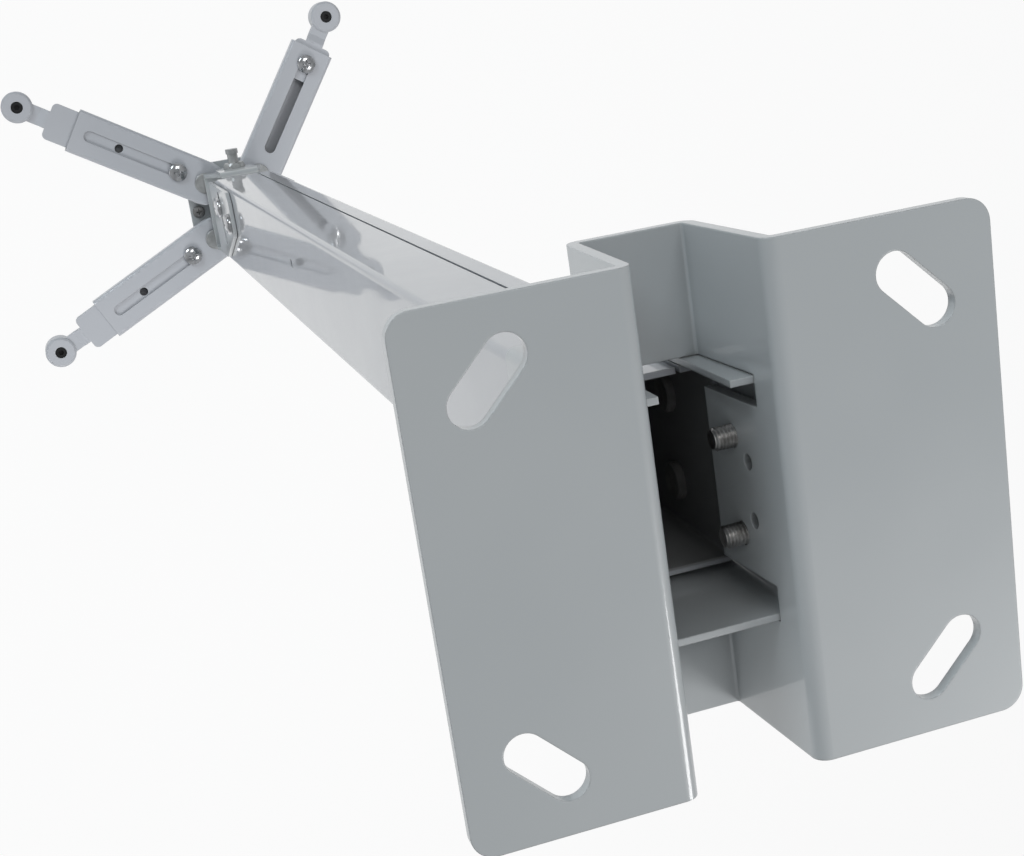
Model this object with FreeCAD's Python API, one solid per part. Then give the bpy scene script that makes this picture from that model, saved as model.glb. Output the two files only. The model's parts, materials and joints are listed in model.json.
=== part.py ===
import FreeCAD, Part
import math
import os

# Projector ceiling mount, in millimetres.
# +Z points up to the ceiling, and the ceiling's own surface is Z = 0, which both flanges of the
# ceiling plate lie against. The origin is the middle of that plate. +X runs across the channel
# of the plate and +Y runs along it. The beam hangs down to a tilt joint, a roll joint and a hub
# with four arms that reach out to the projector's screws.

V = FreeCAD.Vector

# Ceiling plate: one sheet folded into a hat section with flaring walls
plate_width = 120.0
plate_height = 107.0
plate_sheet = 2.5
plate_bend = 0.7
plate_depth = 38.0
mouth_half = 12.9
web_half = 11.3
flange_corner = 5.0
slot_place_x = 43.0
slot_place_y = 38.2
slot_width = 8.5
slot_centres = 11.0
ear_top = 19.0
ear_bottom = -18.5
ear_tip_z = -34.0
notch_z = -10.5
notch_corner = 0.3
ear_bolt_y = 10.6
ear_bolt_z = -23.3
spare_hole_y = 6.3
spare_hole_z = -17.3
spare_hole_d = 3.5

# Collar: lipped channel that grips the walls of the plate from outside
collar_sheet = 1.5
collar_bend = 1.0
collar_bottom = -26.0
collar_top = 25.5
collar_length = 68.0
lip_edge = 7.5
collar_gap = 0.3
pad_radius = 6.0
beam_bolt_z = -66.0

# Drop beam: one sheet folded to a box with a seam on its upper side
beam_half = 16.6
beam_sheet = 1.5
beam_bend = 0.8
beam_bottom = -22.5
beam_top = 23.0
beam_start_z = -39.5
beam_length = 625.5
beam_slack = 0.2
seam_x = 8.0
seam_gap = 1.0
side_hole_y = 5.0
side_hole_z = -415.0
side_hole_d = 4.0

# Tilt joint at the beam's far end
tilt_y = 4.0
tilt_above_end = 59.0
lock_rise = 6.0
lock_drop = 35.0
arc_half_angle = 19.0
tilt_sheet = 2.0
tilt_bend = 1.5
tilt_ear_gap = 0.2
tilt_ear_low = -19.0
tilt_ear_high = 21.0
tilt_ear_nose = 8.0
tilt_ear_shoulder = 44.0
tilt_ear_corner = 5.0
tilt_base_below_end = 15.5

# Roll joint below it
roll_drop = 21.5
roll_tab_width = 22.0
roll_tab_inside = 23.0
roll_sheet = 2.0
roll_gap = 0.2
roll_base_half_x = 17.0
roll_base_drop = 18.2
roll_shoulder = 6.0
roll_pin_d = 6.0
roll_pin_across = 11.0
roll_pin_head = 4.0
roll_pin_reach = 36.0
roll_nut_height = 3.0
roll_cap_d = 7.2
roll_cap_height = 2.7
roll_cap_end = 0.5

# Hub plate and the four arms that turn on top of it
hub_sheet = 2.5
hub_gap = 0.3
arm_space = 3.1
hub_boss_radius = 8.0
arm_pivot_x = 16.5
arm_pivot_y = 17.0
hub_corner = 11.0
hub_screw_x = 22.6
sleeve_width = 26.0
sleeve_thickness = 8.0
sleeve_wall = 1.0
sleeve_length = 81.5
sleeve_edge = 2.0
arm_slot_near = 17.1
arm_slot_far = 71.6
arm_slot_width = 6.5

# Extension bars with their eyes
bar_width = 22.0
bar_thickness = 2.5
bar_gap = 0.15
bar_tail = 10.5
bar_corner = 3.0
neck_width = 10.5
neck_length = 18.0
neck_drop = 2.0
eye_radius = 9.0
eye_height = 12.5
eye_edge = 1.2
eye_socket_d = 6.8
eye_socket_depth = 4.2
eye_above_neck = 1.8
long_bar_eye = 97.7
short_bar_eye = 30.7
spare_thread_d = 5.0
spare_thread_place = 36.5

# Fasteners
bolt_d = 5.0
bolt_hole_d = 5.5
thread_gap = 0.05
bolt_head_across = 8.0
bolt_head_height = 3.5
washer_d = 10.0
washer_sheet = 1.0
collar_bolt_length = 12.0
beam_bolt_length = 8.0
beam_bolt_head_d = 9.0
beam_bolt_head_height = 1.8
nut_height = 4.0
tilt_screw_d = 6.0
tilt_head_d = 11.0
tilt_head_height = 3.2
tilt_nut_across = 10.0
tilt_nut_height = 5.0
tilt_screw_length = 10.5
pin_d = 8.0
pin_across = 13.0
swivel_head_height = 2.6
swivel_nut_height = 5.5
running_gap = 0.06
face_gap = 0.1
rivet_d = 8.0
rivet_head_d = 12.0
rivet_head_height = 1.4
head_edge = 0.6
lock_screw_d = 5.0
lock_head_d = 11.0
lock_head_height = 3.0
lock_screw_length = 5.6
hub_screw_d = 4.0
hub_screw_length = 4.5
hub_screw_head_d = 7.4
hub_screw_head_height = 2.4
eye_screw_d = 4.0
eye_screw_shoulder_d = 4.4
eye_screw_reach = 8.0
eye_screw_head_d = 6.4
eye_screw_head_height = 4.0
eye_screw_key = 3.0
eye_screw_key_depth = 2.0
cross_width = 1.1
cross_depth = 1.4

# Heights and half-widths that follow from the sizes above
plate_web_z = plate_sheet - plate_depth
wall_slope = (mouth_half - web_half) / -plate_web_z
wall_across = plate_sheet / math.cos(math.atan(wall_slope))
collar_inner = beam_half + beam_slack
collar_outer = collar_inner + collar_sheet
collar_front_z = notch_z - collar_gap
beam_end_z = beam_start_z - beam_length
tilt_z = beam_end_z + tilt_above_end
tilt_inner = beam_half + tilt_ear_gap
tilt_outer = tilt_inner + tilt_sheet
tilt_base_z = beam_end_z - tilt_base_below_end
roll_z = tilt_base_z - roll_drop
roll_ear_outer = roll_tab_inside - roll_gap
roll_base_z = roll_z - roll_base_drop
sleeve_top_z = roll_base_z - roll_sheet - arm_space
sleeve_bottom_z = sleeve_top_z - sleeve_thickness
hub_top_z = sleeve_bottom_z - hub_gap
hub_bottom_z = hub_top_z - hub_sheet
bar_top_z = sleeve_top_z - sleeve_wall - bar_gap
neck_top_z = bar_top_z - neck_drop
eye_top_z = neck_top_z + eye_above_neck

AXIS_X = V(1, 0, 0)
AXIS_Y = V(0, 1, 0)
AXIS_Z = V(0, 0, 1)
CORNERS = {"upper_left": (-1, 1), "lower_left": (-1, -1), "upper_right": (1, 1), "lower_right": (1, -1)}
LONG_BARS = ("upper_left", "lower_left")
ARM_ANGLES = {"upper_left": 148.0, "lower_left": 206.0, "upper_right": 56.0, "lower_right": 304.0}


def wall_x(z, share):
    """Half-width of the channel at height z: share 0 is its inner surface and 1 its outer one."""
    return mouth_half + wall_slope * z + wall_across * share


def box(x0, x1, y0, y1, z0, z1):
    return Part.makeBox(x1 - x0, y1 - y0, z1 - z0, V(x0, y0, z0))


def rod(start, axis, radius, length):
    return Part.makeCylinder(radius, length, start, axis)


def facing(shape, place, direction):
    """Turns a shape made along +Z to look along direction, with its zero at place."""
    turned = shape.copy()
    turned.Placement = FreeCAD.Placement(place, FreeCAD.Rotation(AXIS_Z, direction))
    return turned


def along_x(face, low, high):
    """Extrudes a profile drawn in Y and Z."""
    solid = face.extrude(V(0, 0, high - low))
    solid.rotate(V(0, 0, 0), V(1, 1, 1), 120)
    solid.translate(V(low, 0, 0))
    return solid


def along_y(face, low, high):
    """Extrudes a profile drawn in X and Z."""
    solid = face.extrude(V(0, 0, high - low))
    solid.rotate(V(0, 0, 0), AXIS_X, 90)
    solid.translate(V(0, high, 0))
    return solid


def along_z(face, low, high):
    solid = face.extrude(V(0, 0, high - low))
    solid.translate(V(0, 0, low))
    return solid


def sideways(direction):
    return V(-direction.y, direction.x, 0)


def bent_line(points, radius, shift):
    """Edges along the points with every bend rounded, moved to the left by shift."""
    edges = []
    start = points[0]
    side_in = AXIS_Y
    for before, corner, after in zip(points, points[1:], points[2:]):
        run_in = (corner - before).normalize()
        run_out = (after - corner).normalize()
        side_in = sideways(run_in)
        side_out = sideways(run_out)
        turn = run_in.getAngle(run_out)
        setback = radius * math.tan(turn / 2)
        bend_start = corner - run_in * setback
        bend_end = corner + run_out * setback
        inward = (run_out - run_in).normalize()
        centre = corner + inward * (radius / math.cos(turn / 2))
        middle = centre - inward * radius
        side_middle = (side_in + side_out).normalize()
        first = bend_start + side_in * shift
        last = bend_end + side_out * shift
        edges.append(Part.makeLine(start + side_in * shift, first))
        edges.append(Part.Arc(first, middle + side_middle * shift, last).toShape())
        start = bend_end
    side_last = sideways((points[-1] - points[-2]).normalize())
    edges.append(Part.makeLine(start + side_last * shift, points[-1] + side_last * shift))
    return edges


def folded_profile(corners, sheet, bend):
    """Section of a folded sheet whose middle line runs through the corners."""
    points = [V(x, y, 0) for x, y in corners]
    radius = bend + sheet / 2
    left = bent_line(points, radius, sheet / 2)
    right = bent_line(points, radius, -sheet / 2)
    start_cap = Part.makeLine(right[0].Vertexes[0].Point, left[0].Vertexes[0].Point)
    end_cap = Part.makeLine(left[-1].Vertexes[-1].Point, right[-1].Vertexes[-1].Point)
    edges = Part.__sortEdges__([start_cap] + left + [end_cap] + right)
    return Part.Face(Part.Wire(edges))


def rounded_rectangle(x0, x1, y0, y1, radius):
    """Outline with four equal corners."""
    across, up = V(1, 0, 0), V(0, 1, 0)
    diagonal = radius * (1 - math.sqrt(0.5))
    corners = ((V(x0, y0, 0), across, up), (V(x1, y0, 0), up, across * -1),
               (V(x1, y1, 0), across * -1, up * -1), (V(x0, y1, 0), up * -1, across))
    edges = []
    for index, (corner, ahead, inside) in enumerate(corners):
        next_corner = corners[(index + 1) % len(corners)][0]
        first = corner + inside * radius
        middle = corner + (ahead + inside) * diagonal
        last = corner + ahead * radius
        edges.append(Part.Arc(first, middle, last).toShape())
        edges.append(Part.makeLine(last, next_corner - ahead * radius))
    return Part.Face(Part.Wire(edges))


def slot_outline(centre_x, centre_y, angle, between, width):
    """Outline of a slot with round ends, between apart, lying along angle."""
    run = V(math.cos(math.radians(angle)), math.sin(math.radians(angle)), 0)
    side = sideways(run) * (width / 2)
    middle = V(centre_x, centre_y, 0)
    near = middle - run * (between / 2)
    far = middle + run * (between / 2)
    tip = run * (width / 2)
    edges = [Part.makeLine(near - side, far - side),
             Part.Arc(far - side, far + tip, far + side).toShape(),
             Part.makeLine(far + side, near + side),
             Part.Arc(near + side, near - tip, near - side).toShape()]
    return Part.Face(Part.Wire(edges))


def hexagon(across, height, base):
    corners = [V(across / math.sqrt(3) * math.cos(math.radians(60 * k)),
                 across / math.sqrt(3) * math.sin(math.radians(60 * k)), base) for k in range(7)]
    return Part.Face(Part.makePolygon(corners)).extrude(V(0, 0, height))


def hex_bolt(diameter, length, across, head_height):
    """Bolt whose head sits on Z = 0 and whose shank goes down from there."""
    head = hexagon(across, head_height, 0)
    dome = Part.makeCone(across * 0.62, across * 0.5, head_height)
    shank = rod(V(0, 0, -length), AXIS_Z, diameter / 2, length)
    return head.common(dome).fuse(shank).removeSplitter()


def hex_nut(diameter, across, height):
    """Nut that sits on Z = 0."""
    blank = hexagon(across, height, 0).common(Part.makeCone(across * 0.62, across * 0.5, height))
    return blank.cut(rod(V(0, 0, -1), AXIS_Z, diameter / 2 + thread_gap, height + 2))


def round_washer(outer_d, hole_d, height):
    ring = Part.makeCylinder(outer_d / 2, height)
    return ring.cut(rod(V(0, 0, -1), AXIS_Z, hole_d / 2, height + 2))


def round_bolt(diameter, length, head_d, head_height, edge):
    """Bolt with a flat round head, seated on Z = 0."""
    head = Part.makeCylinder(head_d / 2, head_height - edge)
    head = head.fuse(Part.makeCone(head_d / 2, head_d / 2 - edge, edge, V(0, 0, head_height - edge)))
    return head.fuse(rod(V(0, 0, -length), AXIS_Z, diameter / 2, length)).removeSplitter()


def cross_screw(diameter, length, head_d, head_height):
    """Screw with a chamfered head and a cross recess, seated on Z = 0."""
    edge = head_height * 0.4
    head = Part.makeCylinder(head_d / 2, head_height - edge)
    head = head.fuse(Part.makeCone(head_d / 2, head_d / 2 - edge, edge, V(0, 0, head_height - edge)))
    recess_z = head_height - cross_depth
    arm = head_d * 0.27
    half = cross_width / 2
    recess = box(-arm, arm, -half, half, recess_z, head_height + 1)
    recess = recess.fuse(box(-half, half, -arm, arm, recess_z, head_height + 1))
    shank = rod(V(0, 0, -length), AXIS_Z, diameter / 2, length)
    return head.cut(recess).fuse(shank)


def plate_blank():
    """Folded hat section before its cut-outs."""
    half = plate_sheet / 2
    flange_z = -half
    web_z = plate_web_z - half
    width = plate_width / 2
    at_flange = wall_x(flange_z, 0.5)
    at_web = wall_x(web_z, 0.5)
    profile = folded_profile([(-width, flange_z), (-at_flange, flange_z), (-at_web, web_z),
                              (at_web, web_z), (at_flange, flange_z), (width, flange_z)],
                             plate_sheet, plate_bend)
    hat = along_y(profile, -plate_height / 2, plate_height / 2)
    outline = rounded_rectangle(-width, width, -plate_height / 2, plate_height / 2, flange_corner)
    return hat.common(along_z(outline, -plate_depth, 0))


def ceiling_plate():
    plate = plate_blank()
    cuts = []
    for side_x, side_y in CORNERS.values():
        angle = -45.0 * side_x * side_y
        slot = slot_outline(slot_place_x * side_x, slot_place_y * side_y, angle, slot_centres, slot_width)
        cuts.append(along_z(slot, -plate_depth, 1))
    reach = collar_outer + 1
    top = collar_top + collar_gap
    bottom = collar_bottom - collar_gap
    cuts.append(box(-reach, reach, bottom, top, -plate_depth - 1, ear_tip_z))
    for low, high in ((ear_top, top), (bottom, ear_bottom)):
        notch = rounded_rectangle(low, high, -plate_depth - 1, notch_z, notch_corner)
        cuts.append(along_x(notch, -reach, reach))
    for sign in (1, -1):
        cuts.append(rod(V(-reach, sign * ear_bolt_y, ear_bolt_z), AXIS_X, bolt_d / 2 + thread_gap, 2 * reach))
        cuts.append(rod(V(-reach, sign * spare_hole_y, spare_hole_z), AXIS_X, spare_hole_d / 2, 2 * reach))
    return plate.cut(cuts)


def side_holes(half_width, y, z, diameter):
    """Drill that passes both side walls at one height."""
    return rod(V(-half_width - 1, y, z), AXIS_X, diameter / 2, 2 * half_width + 2)


def beam_collar():
    half = collar_sheet / 2
    side = collar_inner + half
    low = collar_bottom + half
    high = collar_top - half
    profile = folded_profile([(-lip_edge, high), (-side, high), (-side, low),
                              (side, low), (side, high), (lip_edge, high)], collar_sheet, collar_bend)
    collar = along_z(profile, collar_front_z - collar_length, collar_front_z)
    pads = []
    for sign_x in (1, -1):
        for sign_y in (1, -1):
            inside = wall_x(ear_bolt_z, 0.5)
            start = V(sign_x * inside, sign_y * ear_bolt_y, ear_bolt_z)
            pads.append(rod(start, AXIS_X * sign_x, pad_radius, collar_inner - inside + half))
    collar = collar.fuse([pad.cut(plate_blank()) for pad in pads])
    drills = []
    for sign in (1, -1):
        drills.append(side_holes(collar_outer, sign * ear_bolt_y, ear_bolt_z, bolt_hole_d))
        drills.append(side_holes(collar_outer, sign * ear_bolt_y, beam_bolt_z, bolt_hole_d))
    return collar.cut(drills).removeSplitter()


def drop_beam():
    half = beam_sheet / 2
    side = beam_half - half
    low = beam_bottom + half
    high = beam_top - half
    profile = folded_profile([(seam_x + seam_gap / 2, high), (side, high), (side, low), (-side, low),
                              (-side, high), (seam_x - seam_gap / 2, high)], beam_sheet, beam_bend)
    beam = along_z(profile, beam_end_z, beam_start_z)
    drills = [side_holes(beam_half, ear_bolt_y, beam_bolt_z, bolt_hole_d),
              side_holes(beam_half, -ear_bolt_y, beam_bolt_z, bolt_hole_d),
              side_holes(beam_half, tilt_y, tilt_z, tilt_screw_d + 2 * thread_gap),
              side_holes(beam_half, tilt_y + lock_rise, tilt_z - lock_drop, tilt_screw_d + 2 * thread_gap),
              rod(V(-beam_half - 1, side_hole_y, side_hole_z), AXIS_X, side_hole_d / 2, beam_sheet + 2)]
    return beam.cut(drills)


def on_both_sides(shape, seat_x, places, outward=1):
    """Copies a fastener to each place on both sides, with heads outward or inward."""
    copies = []
    for sign in (1, -1):
        for y, z in places:
            copies.append(facing(shape, V(sign * seat_x, y, z), AXIS_X * (sign * outward)))
    return Part.makeCompound(copies)


def collar_bolts():
    bolt = hex_bolt(bolt_d, collar_bolt_length, bolt_head_across, bolt_head_height)
    places = [(ear_bolt_y, ear_bolt_z), (-ear_bolt_y, ear_bolt_z)]
    return on_both_sides(bolt, collar_outer + washer_sheet, places)


def collar_washers():
    washer = round_washer(washer_d, bolt_d + 2 * thread_gap, washer_sheet)
    return on_both_sides(washer, collar_outer, [(ear_bolt_y, ear_bolt_z), (-ear_bolt_y, ear_bolt_z)])


def beam_screws():
    """Flat heads inside the beam, so that cables slip past them."""
    bolt = round_bolt(bolt_d, beam_bolt_length, beam_bolt_head_d, beam_bolt_head_height, head_edge)
    places = [(ear_bolt_y, beam_bolt_z), (-ear_bolt_y, beam_bolt_z)]
    return on_both_sides(bolt, beam_half - beam_sheet, places, -1)


def beam_nuts():
    nut = hex_nut(bolt_d, bolt_head_across, nut_height)
    return on_both_sides(nut, collar_outer, [(ear_bolt_y, beam_bolt_z), (-ear_bolt_y, beam_bolt_z)])


def tilt_fastener(y, z):
    """Screws on both sides of the beam with their nuts inside it."""
    screw = cross_screw(tilt_screw_d, tilt_screw_length, tilt_head_d, tilt_head_height)
    nut = hex_nut(tilt_screw_d, tilt_nut_across, tilt_nut_height)
    screws = on_both_sides(screw, tilt_outer + face_gap, [(y, z)])
    nuts = on_both_sides(nut, beam_half - beam_sheet - tilt_nut_height, [(y, z)])
    return screws, nuts


def arc_slot():
    """Curved slot about the tilt axis, drawn in Y and Z, that the locking screw rides in."""
    middle = math.hypot(lock_rise, lock_drop)
    width = tilt_screw_d / 2 + hub_gap
    inner = middle - width
    outer = middle + width
    centre = V(tilt_y, tilt_z, 0)

    def at(radius, angle):
        return centre + V(radius * math.sin(math.radians(angle)), -radius * math.cos(math.radians(angle)), 0)

    def cap(angle, beyond):
        rounded = math.degrees(width / middle) * beyond
        return Part.Arc(at(outer, angle), at(middle, angle + rounded), at(inner, angle)).toShape()

    edges = [Part.Arc(at(outer, -arc_half_angle), at(outer, 0), at(outer, arc_half_angle)).toShape(),
             cap(arc_half_angle, 1),
             Part.Arc(at(inner, arc_half_angle), at(inner, 0), at(inner, -arc_half_angle)).toShape(),
             cap(-arc_half_angle, -1)]
    return Part.Face(Part.Wire(Part.__sortEdges__(edges)))


def ear_outline(base, ear_end):
    """Ear of the tilt bracket in Y and Z: broad at the arc slot and narrowed to a nose at the pivot."""
    shoulder_z = tilt_z - tilt_ear_shoulder
    points = [(tilt_ear_low, base), (tilt_ear_high, base), (tilt_ear_high, ear_end - tilt_ear_corner),
              (tilt_ear_high - tilt_ear_corner, ear_end), (tilt_y, ear_end), (tilt_y - tilt_ear_nose, tilt_z),
              (tilt_ear_low, shoulder_z), (tilt_ear_low, base)]
    return Part.Face(Part.makePolygon([V(y, z, 0) for y, z in points]))


def tilt_bracket():
    """Two ears beside the beam, joined by a base with two tabs bent down for the roll joint."""
    half = tilt_sheet / 2
    ear_x = tilt_inner + half
    base = tilt_base_z - half
    ear_end = tilt_z + tilt_ear_nose
    ears = along_y(folded_profile([(-ear_x, ear_end), (-ear_x, base), (ear_x, base), (ear_x, ear_end)],
                                  tilt_sheet, tilt_bend), tilt_ear_low, tilt_ear_high)
    outline = along_x(ear_outline(base - tilt_sheet, ear_end), -tilt_outer, tilt_outer)
    nose = rod(V(-tilt_outer, tilt_y, tilt_z), AXIS_X, tilt_ear_nose, 2 * tilt_outer)
    ears = ears.common(outline.fuse(nose))
    tab_y = roll_tab_inside + half
    tab_half = roll_tab_width / 2
    tab_end = roll_z - tab_half
    tabs = along_x(folded_profile([(-tab_y, tab_end), (-tab_y, base), (tab_y, base), (tab_y, tab_end)],
                                  tilt_sheet, tilt_bend), -tab_half, tab_half)
    tab_outline = box(-tab_half, tab_half, -tab_y - half, tab_y + half, roll_z, tilt_base_z)
    tab_nose = rod(V(0, -tab_y - half, roll_z), AXIS_Y, tab_half, 2 * tab_y + tilt_sheet)
    bracket = ears.fuse(tabs.common(tab_outline.fuse(tab_nose))).removeSplitter()
    pivot = side_holes(tilt_outer, tilt_y, tilt_z, tilt_screw_d + 2 * running_gap)
    pin_hole = rod(V(0, -tab_y - tilt_sheet, roll_z), AXIS_Y, roll_pin_d / 2 + thread_gap,
                   2 * tab_y + 2 * tilt_sheet)
    return bracket.cut([pivot, along_x(arc_slot(), -tilt_outer - 1, tilt_outer + 1), pin_hole])


def roll_bolt():
    seat = roll_tab_inside + tilt_sheet
    bolt = hex_bolt(roll_pin_d, seat + roll_pin_reach - roll_cap_end, roll_pin_across, roll_pin_head)
    return facing(bolt, V(0, -seat, roll_z), AXIS_Y * -1)


def roll_nut():
    nut = hex_nut(roll_pin_d, roll_pin_across, roll_nut_height)
    return facing(nut, V(0, roll_tab_inside + tilt_sheet, roll_z), AXIS_Y)


def roll_cap():
    """Round cap pushed over the far end of the roll bolt."""
    cap = Part.makeCylinder(roll_cap_d / 2, roll_cap_height)
    bore = rod(V(0, 0, -1), AXIS_Z, roll_pin_d / 2 + thread_gap, roll_cap_height - roll_cap_end + 1)
    return facing(cap.cut(bore), V(0, roll_pin_reach - roll_cap_height, roll_z), AXIS_Y)


def hub_bracket():
    """Upturned ears inside the tabs of the tilt bracket, on a base that carries the hub."""
    half = roll_sheet / 2
    ear_y = roll_ear_outer - half
    base = roll_base_z - half
    nose_radius = roll_tab_width / 2
    profile = folded_profile([(-ear_y, roll_z + nose_radius), (-ear_y, base), (ear_y, base),
                              (ear_y, roll_z + nose_radius)], roll_sheet, tilt_bend)
    folded = along_x(profile, -roll_base_half_x, roll_base_half_x)
    shoulder_z = base - half + roll_shoulder
    points = [(-roll_base_half_x, base - half), (roll_base_half_x, base - half), (roll_base_half_x, shoulder_z),
              (nose_radius, roll_z), (-nose_radius, roll_z), (-roll_base_half_x, shoulder_z),
              (-roll_base_half_x, base - half)]
    outline = Part.Face(Part.makePolygon([V(x, z, 0) for x, z in points]))
    reach = roll_ear_outer + 1
    silhouette = along_y(outline, -reach, reach)
    silhouette = silhouette.fuse(rod(V(0, -reach, roll_z), AXIS_Y, nose_radius, 2 * reach))
    bracket = folded.common(silhouette)
    pin_hole = rod(V(0, -reach, roll_z), AXIS_Y, roll_pin_d / 2 + running_gap, 2 * reach)
    swivel_hole = rod(V(0, 0, base - 2 * roll_sheet), AXIS_Z, pin_d / 2 + thread_gap, 4 * roll_sheet)
    return bracket.cut([pin_hole, swivel_hole])


def swivel_bolt():
    """Its head is under the hub plate, which turns about it."""
    seat = hub_bottom_z - face_gap
    length = roll_base_z - seat + swivel_nut_height + 1
    return facing(hex_bolt(pin_d, length, pin_across, swivel_head_height), V(0, 0, seat), AXIS_Z * -1)


def swivel_nut():
    return facing(hex_nut(pin_d, pin_across, swivel_nut_height), V(0, 0, roll_base_z), AXIS_Z)


def hub_plate():
    """Plate under the arms, with a boss that reaches up between them to the hub bracket."""
    reach_x = arm_pivot_x + hub_corner
    reach_y = arm_pivot_y + hub_corner
    outline = rounded_rectangle(-reach_x, reach_x, -reach_y, reach_y, hub_corner)
    plate = along_z(outline, hub_bottom_z, hub_top_z)
    boss_height = roll_base_z - roll_sheet - face_gap - hub_bottom_z
    boss = rod(V(0, 0, hub_bottom_z), AXIS_Z, hub_boss_radius, boss_height)
    cuts = [rod(V(0, 0, hub_bottom_z - 1), AXIS_Z, pin_d / 2 + running_gap, boss_height + 2)]
    for sign in (1, -1):
        place = V(sign * hub_screw_x, 0, hub_bottom_z - 1)
        cuts.append(rod(place, AXIS_Z, hub_screw_d / 2 + thread_gap, hub_sheet + 2))
    for side_x, side_y in CORNERS.values():
        place = V(side_x * arm_pivot_x, side_y * arm_pivot_y, hub_bottom_z - 1)
        cuts.append(rod(place, AXIS_Z, rivet_d / 2 + thread_gap, hub_sheet + 2))
    return plate.fuse(boss).removeSplitter().cut(cuts)


def hub_screws():
    screw = cross_screw(hub_screw_d, hub_screw_length, hub_screw_head_d, hub_screw_head_height)
    return Part.makeCompound([facing(screw, V(sign * hub_screw_x, 0, hub_top_z), AXIS_Z) for sign in (1, -1)])


def arm_rivets():
    """Each rivet has its head above the arm and is flush with the underside of the hub plate."""
    seat = sleeve_top_z + face_gap
    rivet = round_bolt(rivet_d, seat - hub_bottom_z, rivet_head_d, rivet_head_height, head_edge)
    places = [V(side_x * arm_pivot_x, side_y * arm_pivot_y, seat) for side_x, side_y in CORNERS.values()]
    return Part.makeCompound([facing(rivet, place, AXIS_Z) for place in places])


def sleeve():
    """Flat closed sleeve along +X from its pivot at the origin, open at the far end."""
    half = sleeve_width / 2
    section = rounded_rectangle(-half, half, sleeve_bottom_z, sleeve_top_z, sleeve_edge)
    tube = along_x(section, -half, sleeve_length)
    round_end = slot_outline(sleeve_length / 2, 0, 0, sleeve_length, sleeve_width)
    outer = tube.common(along_z(round_end, sleeve_bottom_z, sleeve_top_z))
    inner_half = half - sleeve_wall
    inner = along_z(slot_outline(sleeve_length / 2, 0, 0, sleeve_length, 2 * inner_half),
                    sleeve_bottom_z + sleeve_wall, sleeve_top_z - sleeve_wall)
    middle = (arm_slot_near + arm_slot_far) / 2
    slot = along_z(slot_outline(middle, 0, 0, arm_slot_far - arm_slot_near, arm_slot_width),
                   sleeve_top_z - sleeve_wall - 1, sleeve_top_z + 1)
    pivot = rod(V(0, 0, sleeve_bottom_z - 1), AXIS_Z, rivet_d / 2 + running_gap, sleeve_thickness + 2)
    return outer.cut([inner, slot, pivot])


def bar(lock_place, eye_place, has_spare_thread):
    """Extension bar along +X: a flat strap, a dropped neck and a thick eye at its end."""
    half = bar_width / 2
    shoulder = lock_place + eye_place - neck_length
    strap_bottom = bar_top_z - bar_thickness
    strap = along_z(rounded_rectangle(lock_place - bar_tail, shoulder, -half, half, bar_corner),
                    strap_bottom, bar_top_z)
    eye_x = lock_place + eye_place
    mid = bar_thickness / 2
    slope_start = shoulder + 1
    slope_end = slope_start + 2 * neck_drop
    neck_line = folded_profile([(shoulder - neck_width, bar_top_z - mid), (slope_start, bar_top_z - mid),
                                (slope_end, neck_top_z - mid), (eye_x, neck_top_z - mid)], bar_thickness, 1.0)
    neck = along_y(neck_line, -neck_width / 2, neck_width / 2)
    eye = Part.makeCylinder(eye_radius, eye_height, V(eye_x, 0, eye_top_z - eye_height))
    rims = [edge for edge in eye.Edges if edge.BoundBox.ZLength < 0.01]
    eye = eye.makeChamfer(eye_edge, rims)
    screw_hole_d = eye_screw_shoulder_d + 2 * thread_gap
    cuts = [rod(V(eye_x, 0, eye_top_z - eye_height - 1), AXIS_Z, screw_hole_d / 2, eye_height),
            rod(V(eye_x, 0, eye_top_z - eye_socket_depth), AXIS_Z, eye_socket_d / 2, eye_socket_depth + 1),
            rod(V(lock_place, 0, strap_bottom - 1), AXIS_Z, lock_screw_d / 2 + thread_gap, bar_thickness + 2)]
    if has_spare_thread:
        cuts.append(rod(V(lock_place + spare_thread_place, 0, strap_bottom - 1), AXIS_Z,
                        spare_thread_d / 2, bar_thickness + 2))
    return strap.fuse([neck, eye]).cut(cuts)


def eye_screw():
    """Socket screw sunk in an eye, with a shoulder and a thinner end for the projector's thread."""
    head = Part.makeCylinder(eye_screw_head_d / 2, eye_screw_head_height)
    key = hexagon(eye_screw_key, eye_screw_key_depth + 1, eye_screw_head_height - eye_screw_key_depth)
    shoulder = eye_height - eye_socket_depth
    shank = rod(V(0, 0, -shoulder), AXIS_Z, eye_screw_shoulder_d / 2, shoulder)
    end = rod(V(0, 0, -shoulder - eye_screw_reach), AXIS_Z, eye_screw_d / 2, eye_screw_reach)
    return head.cut(key).fuse([shank, end])


def on_arm(shape, corner):
    """Swings a shape made along +X out to its own arm."""
    side_x, side_y = CORNERS[corner]
    placed = shape.copy()
    placed.rotate(V(0, 0, 0), AXIS_Z, ARM_ANGLES[corner])
    placed.translate(V(side_x * arm_pivot_x, side_y * arm_pivot_y, 0))
    return placed


def arm_nodes():
    nodes = {}
    screw = cross_screw(lock_screw_d, lock_screw_length, lock_head_d, lock_head_height)
    for corner in CORNERS:
        is_long = corner in LONG_BARS
        lock_place = arm_slot_near if is_long else arm_slot_far
        eye_place = long_bar_eye if is_long else short_bar_eye
        nodes["sleeve_" + corner] = on_arm(sleeve(), corner)
        nodes["bar_" + corner] = on_arm(bar(lock_place, eye_place, is_long), corner)
        seated = facing(screw, V(lock_place, 0, sleeve_top_z + face_gap), AXIS_Z)
        nodes["lock_screw_" + corner] = on_arm(seated, corner)
        sunk = facing(eye_screw(), V(lock_place + eye_place, 0, eye_top_z - eye_socket_depth), AXIS_Z)
        nodes["eye_screw_" + corner] = on_arm(sunk, corner)
    return nodes


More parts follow.
